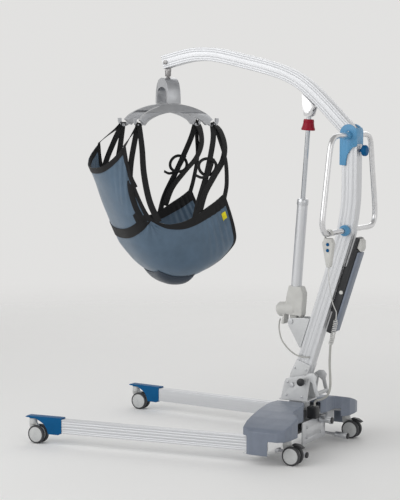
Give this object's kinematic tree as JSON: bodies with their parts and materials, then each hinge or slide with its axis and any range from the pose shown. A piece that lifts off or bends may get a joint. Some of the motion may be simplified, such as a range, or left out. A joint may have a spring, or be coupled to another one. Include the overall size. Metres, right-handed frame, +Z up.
{
  "type": "patient lift hoist",
  "caption": "Mobile patient lift with curved column, powered boom, spreading castor legs, spreader bars and sling.",
  "frame": {"origin": "centre of the bounding box on the floor", "axes": "+Z up, -X forward towards the toes of the legs, -Y to the operator's left"},
  "size_m": [1.3881, 0.931, 1.703],
  "materials": {
    "anodised_aluminium": "satin anodised",
    "brushed_steel": "brushed",
    "chrome": "polished",
    "bracket_grey": "satin powder coat",
    "blue_plastic": "semi-gloss moulded",
    "light_blue_plastic": "semi-gloss moulded",
    "slate_plastic": "matte moulded",
    "light_grey_plastic": "matte moulded",
    "black_plastic": "matte moulded",
    "tyre_rubber": "matte",
    "red_plastic": "semi-gloss",
    "cable_grey": "matte",
    "cast_grey": "satin cast",
    "sling_fabric": "woven polyester",
    "black_webbing": "woven webbing"
  },
  "bodies": {
    "base": {"base_crossbeam": "brushed_steel", "rear_plate": "bracket_grey", "leg_drive_motor": "black_plastic", "rear_cover_left": "slate_plastic", "rear_cover_right": "slate_plastic", "push_bar": "chrome", "cable_gland": "black_plastic", "foot_bracket": "bracket_grey", "fold_pin": "brushed_steel", "lock_rod": "black_plastic"},
    "leg_left_body": {"leg_left": "anodised_aluminium", "leg_cap_left": "blue_plastic"},
    "leg_right_body": {"leg_right": "anodised_aluminium", "leg_cap_right": "blue_plastic"},
    "lock_lever_body": {"lock_lever": "bracket_grey"},
    "pedal_left_body": {"foot_pedal_left": "brushed_steel"},
    "pedal_right_body": {"foot_pedal_right": "brushed_steel"},
    "mast_body": {"mast": "anodised_aluminium", "mast_tongue": "bracket_grey", "mast_head": "light_blue_plastic", "handle_left": "anodised_aluminium", "handle_right": "anodised_aluminium", "handle_boss": "blue_plastic", "boom_pivot_pin": "brushed_steel", "actuator_foot_pin": "brushed_steel", "actuator_bracket": "bracket_grey", "control_box": "black_plastic", "handset": "light_grey_plastic", "motor_cable": "cable_grey", "handset_cord": "cable_grey", "base_cable": "cable_grey"},
    "head_knob_body": {"head_knob": "blue_plastic"},
    "battery_body": {"battery": "slate_plastic"},
    "battery_latch_body": {"battery_latch": "light_grey_plastic"},
    "stop_button_body": {"stop_button": "light_grey_plastic"},
    "button_up_body": {"handset_button_up": "blue_plastic"},
    "button_down_body": {"handset_button_down": "blue_plastic"},
    "boom_body": {"boom": "anodised_aluminium", "boom_ear": "bracket_grey"},
    "actuator_body": {"actuator_motor": "light_grey_plastic", "actuator_tube": "light_grey_plastic"},
    "piston_body": {"piston_rod": "chrome"},
    "sleeve_body": {"emergency_sleeve": "red_plastic"},
    "hanger_body": {"hanger_link": "chrome"},
    "suspension_body": {"yoke": "cast_grey", "spreader_bar_left": "cast_grey", "spreader_bar_right": "cast_grey", "sling_body": "sling_fabric", "sling_straps_left": "black_webbing", "sling_straps_right": "black_webbing"},
    "castor_front_left": {"castor_fork_front_left": "black_plastic"},
    "wheels_front_left": {"castor_wheels_front_left": "tyre_rubber"},
    "castor_front_right": {"castor_fork_front_right": "black_plastic"},
    "wheels_front_right": {"castor_wheels_front_right": "tyre_rubber"},
    "castor_rear_left": {"castor_fork_rear_left": "black_plastic"},
    "wheels_rear_left": {"castor_wheels_rear_left": "tyre_rubber"},
    "castor_rear_right": {"castor_fork_rear_right": "black_plastic"},
    "wheels_rear_right": {"castor_wheels_rear_right": "tyre_rubber"},
    "brake_left_body": {"brake_lever_left": "black_plastic"},
    "brake_right_body": {"brake_lever_right": "black_plastic"}
  },
  "joints": [
    {"name": "mast_fold", "type": "hinge", "parent": "base", "child": "mast_body", "pos_m": [0.38275, 0, 0.28], "axis": [0, 1, 0], "range_deg": [-40, 0], "deforming": ["base_cable"]},
    {"name": "lock_lever_lift", "type": "hinge", "parent": "base", "child": "lock_lever_body", "pos_m": [0.43575, 0, 0.299], "axis": [0, 1, 0], "range_deg": [-40, 0]},
    {"name": "leg_left_spread", "type": "hinge", "parent": "base", "child": "leg_left_body", "pos_m": [0.39775, -0.338, 0.082], "axis": [0, 0, 1], "range_deg": [-5.5, 6]},
    {"name": "leg_right_spread", "type": "hinge", "parent": "base", "child": "leg_right_body", "pos_m": [0.39775, 0.338, 0.082], "axis": [0, 0, 1], "range_deg": [-6, 5.5]},
    {"name": "swivel_front_left", "type": "hinge", "parent": "leg_left_body", "child": "castor_front_left", "pos_m": [-0.66425, -0.441, 0.08], "axis": [0, 0, 1], "continuous": true},
    {"name": "roll_front_left", "type": "hinge", "parent": "castor_front_left", "child": "wheels_front_left", "pos_m": [-0.63825, -0.441, 0.04], "axis": [0, 1, 0], "continuous": true},
    {"name": "swivel_front_right", "type": "hinge", "parent": "leg_right_body", "child": "castor_front_right", "pos_m": [-0.66425, 0.441, 0.08], "axis": [0, 0, 1], "continuous": true},
    {"name": "roll_front_right", "type": "hinge", "parent": "castor_front_right", "child": "wheels_front_right", "pos_m": [-0.63825, 0.441, 0.04], "axis": [0, 1, 0], "continuous": true},
    {"name": "swivel_rear_left", "type": "hinge", "parent": "base", "child": "castor_rear_left", "pos_m": [0.48375, -0.307, 0.08], "axis": [0, 0, 1], "continuous": true},
    {"name": "roll_rear_left", "type": "hinge", "parent": "castor_rear_left", "child": "wheels_rear_left", "pos_m": [0.50975, -0.307, 0.04], "axis": [0, 1, 0], "continuous": true},
    {"name": "swivel_rear_right", "type": "hinge", "parent": "base", "child": "castor_rear_right", "pos_m": [0.48375, 0.307, 0.08], "axis": [0, 0, 1], "continuous": true},
    {"name": "roll_rear_right", "type": "hinge", "parent": "castor_rear_right", "child": "wheels_rear_right", "pos_m": [0.50975, 0.307, 0.04], "axis": [0, 1, 0], "continuous": true},
    {"name": "brake_left_press", "type": "hinge", "parent": "castor_rear_left", "child": "brake_left_body", "pos_m": [0.51175, -0.307, 0.087], "axis": [0, 1, 0], "range_deg": [0, 14]},
    {"name": "brake_right_press", "type": "hinge", "parent": "castor_rear_right", "child": "brake_right_body", "pos_m": [0.51175, 0.307, 0.087], "axis": [0, 1, 0], "range_deg": [0, 14]},
    {"name": "pedal_left_press", "type": "hinge", "parent": "base", "child": "pedal_left_body", "pos_m": [0.39975, -0.215, 0.034], "axis": [0, 1, 0], "range_deg": [-3, 5]},
    {"name": "pedal_right_press", "type": "hinge", "parent": "base", "child": "pedal_right_body", "pos_m": [0.39975, 0.215, 0.034], "axis": [0, 1, 0], "range_deg": [-3, 5]},
    {"name": "boom_lift", "type": "hinge", "parent": "mast_body", "child": "boom_body", "pos_m": [0.62275, 0, 1.345], "axis": [0, 1, 0], "range_deg": [-50, 8]},
    {"name": "actuator_tilt", "type": "hinge", "parent": "mast_body", "child": "actuator_body", "pos_m": [0.36775, 0, 0.548], "axis": [0, 1, 0], "range_deg": [-0.2, 0.8]},
    {"name": "piston_slide", "type": "slide", "parent": "actuator_body", "child": "piston_body", "axis": [0.0725, 0, 0.9974], "range_m": [-0.18, 0.03]},
    {"name": "sleeve_turn", "type": "hinge", "parent": "piston_body", "child": "sleeve_body", "pos_m": [0.42842, 0, 1.38312], "axis": [0.0725, 0, 0.9974], "range_deg": [0, 90]},
    {"name": "head_knob_turn", "type": "hinge", "parent": "mast_body", "child": "head_knob_body", "pos_m": [0.66005, 0, 1.274], "axis": [1, 0, 0], "continuous": true},
    {"name": "battery_pull", "type": "slide", "parent": "mast_body", "child": "battery_body", "axis": [0.952, 0, -0.3062], "range_m": [0, 0.04]},
    {"name": "battery_latch_press", "type": "hinge", "parent": "mast_body", "child": "battery_latch_body", "pos_m": [0.67716, 0, 0.9066], "axis": [0, 1, 0], "range_deg": [-10, 0], "stiffness_Nm_per_rad": 0.8},
    {"name": "stop_button_press", "type": "slide", "parent": "mast_body", "child": "stop_button_body", "axis": [0, 1, 0], "range_m": [0, 0.0025], "stiffness_N_per_m": 400},
    {"name": "button_up_press", "type": "slide", "parent": "mast_body", "child": "button_up_body", "axis": [0, 1, 0], "range_m": [0, 0.0015], "stiffness_N_per_m": 400},
    {"name": "button_down_press", "type": "slide", "parent": "mast_body", "child": "button_down_body", "axis": [0, 1, 0], "range_m": [0, 0.0015], "stiffness_N_per_m": 400},
    {"name": "hanger_swing", "type": "hinge", "parent": "boom_body", "child": "hanger_body", "pos_m": [-0.24425, 0, 1.64], "axis": [0, 1, 0], "range_deg": [-8, 50]},
    {"name": "yoke_swivel", "type": "hinge", "parent": "hanger_body", "child": "suspension_body", "pos_m": [-0.24425, 0, 1.56], "axis": [0, 0, 1], "continuous": true}
  ],
  "couplings": [
    {"joint": "leg_right_spread", "follows": "leg_left_spread", "ratio": -1},
    {"joint": "actuator_tilt", "follows": "boom_lift", "ratio": -0.0144},
    {"joint": "piston_slide", "follows": "boom_lift", "m_per_rad": 0.2011},
    {"joint": "hanger_swing", "follows": "boom_lift", "ratio": -1}
  ]
}
